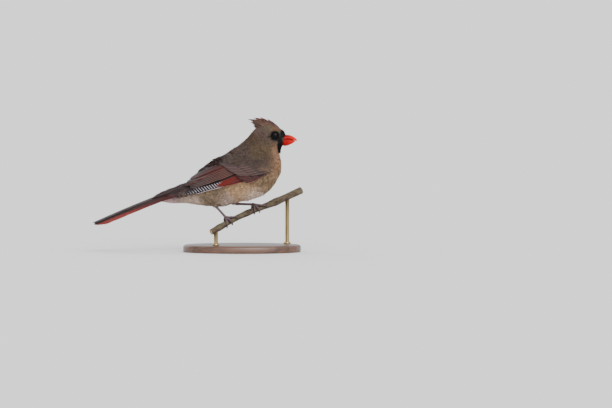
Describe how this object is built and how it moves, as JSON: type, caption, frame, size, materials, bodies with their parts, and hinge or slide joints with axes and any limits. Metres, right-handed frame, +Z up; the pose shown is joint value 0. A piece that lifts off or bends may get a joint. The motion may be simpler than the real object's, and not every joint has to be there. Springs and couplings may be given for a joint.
{
  "type": "northern cardinal, female, perched life-size model on a display stand",
  "caption": "Still, life-size female northern cardinal gripping a short cut branch, held over a flat oval base by two short rods.",
  "frame": {"origin": "centre of the flat underside of the stand's base", "axes": "+X is the way the bird faces, +Y its left side, +Z up from the surface that the base stands on"},
  "size_m": [0.1997, 0.078, 0.1267],
  "materials": {
    "face_feathers": "soft feather, warm grey-brown with a dark mask",
    "body_feathers": "soft feather, buff below and grey-brown above",
    "wing_feathers": "flight feathers, grey-brown with red outer webs",
    "tail_feathers": "tail feathers, dull red with redder edges",
    "bill": "smooth horn, coral red",
    "eye": "wet, almost black brown",
    "leg_skin": "scaled skin, dusky red-brown",
    "claw": "dark horn",
    "bark": "thin rough bark, cut ends",
    "stand_wood": "turned wood, satin",
    "stand_rod": "satin rod"
  },
  "bodies": {
    "root": {"bill_lower": "bill", "bill_upper": "bill", "claw_left_hind": "claw", "claw_left_inner": "claw", "claw_left_middle": "claw", "claw_left_outer": "claw", "claw_right_hind": "claw", "claw_right_inner": "claw", "claw_right_middle": "claw", "claw_right_outer": "claw", "eye_left": "eye", "eye_right": "eye", "foot_left": "leg_skin", "foot_right": "leg_skin", "head": "face_feathers", "neck": "body_feathers", "perch": "bark", "rump": "body_feathers", "stand_base": "stand_wood", "stand_rod_front": "stand_rod", "stand_rod_rear": "stand_rod", "tail": "tail_feathers", "tarsus_left": "leg_skin", "tarsus_right": "leg_skin", "thigh_left": "body_feathers", "thigh_right": "body_feathers", "torso": "body_feathers", "wing_left": "wing_feathers", "wing_right": "wing_feathers"}
  },
  "joints": []
}
